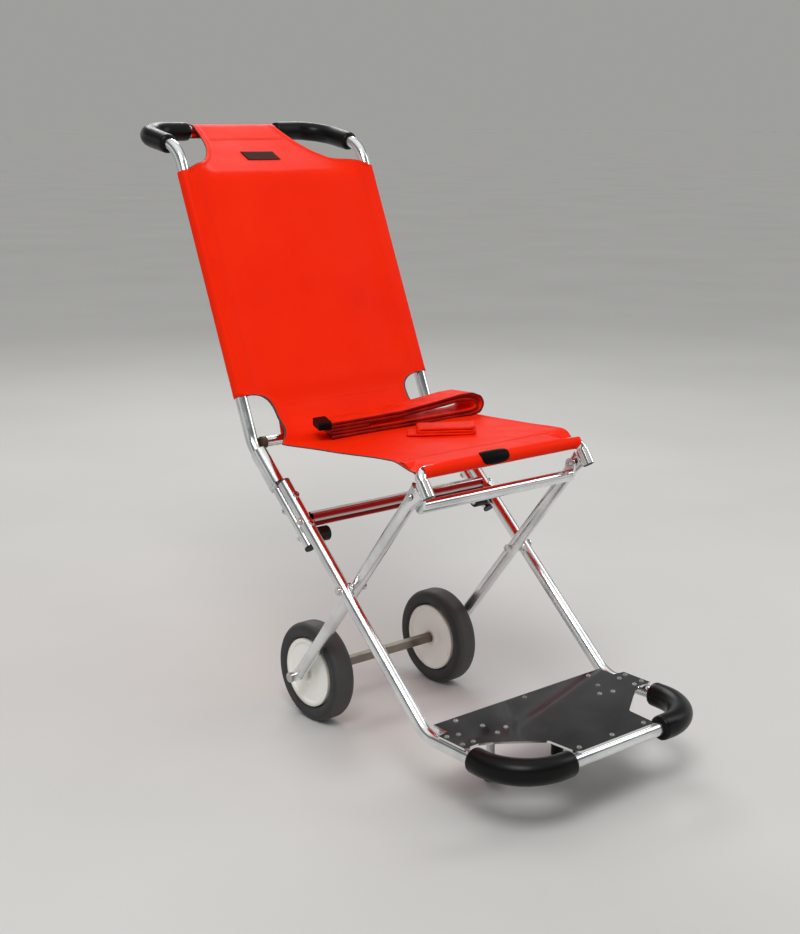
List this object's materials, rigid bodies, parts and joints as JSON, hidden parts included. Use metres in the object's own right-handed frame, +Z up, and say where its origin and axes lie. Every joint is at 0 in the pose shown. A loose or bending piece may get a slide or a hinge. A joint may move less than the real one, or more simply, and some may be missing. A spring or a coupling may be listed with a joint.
{
  "type": "folding carry chair",
  "caption": "Folding evacuation chair: scissor frame of bright tube, orange fabric seat and back, hand grips at both ends, rear wheels and a raised foot platform.",
  "frame": {"origin": "on the floor under the middle of the chair's bounding box", "axes": "+Z up; the chair faces -Y, its head-end hand loop is towards +Y; +X is the right-hand side seen from in front of the chair looking back along +Y, and the wheel axle runs along X"},
  "size_m": [0.381, 0.9154, 0.887],
  "materials": {
    "tube_aluminium": "polished, drawn tube",
    "bar_aluminium": "satin extrusion",
    "chrome_tube": "bright",
    "steel": "zinc plated",
    "orange_vinyl": "vinyl-coated woven fabric, slightly glossy",
    "orange_webbing": "woven webbing",
    "label_maroon": "blank sewn label",
    "grip_rubber": "smooth, semi-gloss",
    "black_rubber": "matt",
    "brown_plastic": "moulded",
    "black_plastic": "moulded",
    "plate_black": "gloss sheet",
    "tyre": "smooth solid rubber",
    "hub_cream": "moulded disc",
    "bush_metal": "turned"
  },
  "bodies": {
    "main_frame": {"leg_platform_tube": "tube_aluminium", "foot_plate": "plate_black", "plate_rear_angle": "bar_aluminium", "plate_rivets": "steel", "rest_post_left": "steel", "rest_post_right": "steel", "rest_post_tips": "black_rubber", "foot_grip_left": "grip_rubber", "foot_grip_right": "grip_rubber", "head_grip_left": "grip_rubber", "head_grip_right": "grip_rubber", "back_tube": "tube_aluminium", "splice_sleeve_left": "tube_aluminium", "splice_sleeve_right": "tube_aluminium", "spigot_tube_left": "tube_aluminium", "spigot_tube_right": "tube_aluminium", "sleeve_collars": "black_rubber", "spigot_plugs": "black_rubber", "splice_bolts": "steel", "splice_nuts": "steel", "leg_cross_bar": "bar_aluminium", "cross_bar_bolts": "steel", "fold_bumpers": "black_rubber", "bumper_screws": "steel", "pivot_bolts": "steel", "pivot_washers": "steel", "pivot_nuts": "steel", "seat_rear_tube": "chrome_tube", "seat_tube_bushes": "brown_plastic", "back_sling": "orange_vinyl", "back_label": "label_maroon", "leg_end_plugs": "brown_plastic", "seat_sling": "orange_vinyl", "body_strap": "orange_webbing", "strap_buckle": "black_plastic", "strap_bundle": "orange_webbing"},
    "rear_frame": {"rear_leg_left": "tube_aluminium", "rear_leg_right": "tube_aluminium", "axle_bosses": "tube_aluminium", "axle_bar": "bar_aluminium", "axle_rod": "steel", "axle_end_caps": "steel", "axle_washers": "steel", "seat_front_tube": "chrome_tube", "seat_front_sleeves": "chrome_tube", "seat_front_plugs": "black_rubber", "front_cross_tube": "tube_aluminium", "seat_front_bolts": "steel", "pull_tab": "black_plastic"},
    "wheel_left": {"wheel_hub_left": "hub_cream", "wheel_tyre_left": "tyre", "wheel_bush_left": "bush_metal"},
    "wheel_right": {"wheel_hub_right": "hub_cream", "wheel_tyre_right": "tyre", "wheel_bush_right": "bush_metal"}
  },
  "joints": [
    {"name": "scissor_fold", "type": "hinge", "parent": "main_frame", "child": "rear_frame", "pos_m": [0, -0.08165, 0.251], "axis": [-1, 0, 0], "range_deg": [0, 62], "deforming": ["seat_sling", "body_strap", "strap_buckle", "strap_bundle"]},
    {"name": "wheel_spin_left", "type": "hinge", "parent": "rear_frame", "child": "wheel_left", "pos_m": [-0.1224, 0.05875, 0.0762], "axis": [1, 0, 0], "continuous": true},
    {"name": "wheel_spin_right", "type": "hinge", "parent": "rear_frame", "child": "wheel_right", "pos_m": [0.1224, 0.05875, 0.0762], "axis": [1, 0, 0], "continuous": true}
  ]
}
